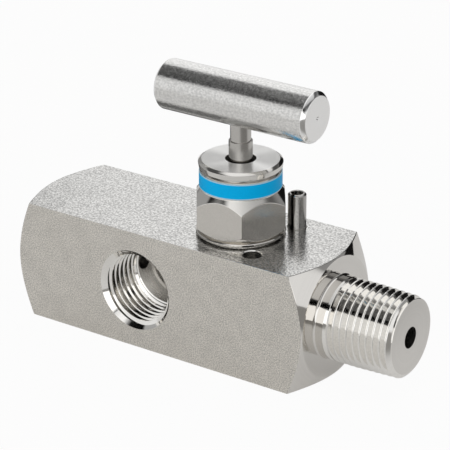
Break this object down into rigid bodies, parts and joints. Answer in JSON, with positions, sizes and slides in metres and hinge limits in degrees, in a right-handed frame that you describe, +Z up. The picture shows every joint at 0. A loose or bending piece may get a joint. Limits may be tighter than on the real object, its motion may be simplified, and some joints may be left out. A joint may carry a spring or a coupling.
{
  "type": "multiport needle valve",
  "caption": "Square bar-stock needle valve with a male pipe nipple, side and end ports, a hexagon bonnet with a coloured band, and a T-bar spindle that lifts a non-turning needle.",
  "frame": {"origin": "where the spindle axis meets the flat underside of the body", "axes": "+X along the body to the male nipple, +Z up the spindle axis, +Y to the rear side port"},
  "size_m": [0.1091, 0.032, 0.0736],
  "materials": {
    "body_steel": "blasted sides, ground top, turned ends",
    "turned_steel": "fine turned",
    "pin_steel": "rolled, slightly dark",
    "packing": "matte",
    "gasket": "matte",
    "wiper": "matte",
    "band": "smooth, slightly glossy",
    "ball": "polished"
  },
  "bodies": {
    "root": {"valve_body": "body_steel", "bonnet_gasket": "gasket", "bonnet": "turned_steel", "bonnet_lock_pin": "pin_steel", "colour_band": "band", "packing_washer_lower": "turned_steel", "packing_ring_lower": "packing", "packing_ring_middle": "packing", "packing_ring_upper": "packing", "packing_washer_upper": "turned_steel", "packing_adjuster": "turned_steel", "adjuster_lock_ring": "turned_steel", "dust_cap": "turned_steel", "spindle_wiper": "wiper"},
    "needle": {"needle_tip": "turned_steel", "thrust_ball": "ball"},
    "spindle_assembly": {"spindle": "turned_steel", "tip_retaining_ring": "pin_steel", "tbar_handle": "turned_steel", "handle_set_screw": "pin_steel"}
  },
  "joints": [
    {"name": "needle_lift", "type": "slide", "parent": "root", "child": "needle", "axis": [0, 0, 1], "range_m": [0, 0.00469]},
    {"name": "spindle_turn", "type": "hinge", "parent": "needle", "child": "spindle_assembly", "pos_m": [0, 0, 0.032], "axis": [0, 0, 1], "range_deg": [0, 1350]}
  ],
  "couplings": [
    {"joint": "spindle_turn", "follows": "needle_lift", "rad_per_m": 5026.5}
  ]
}
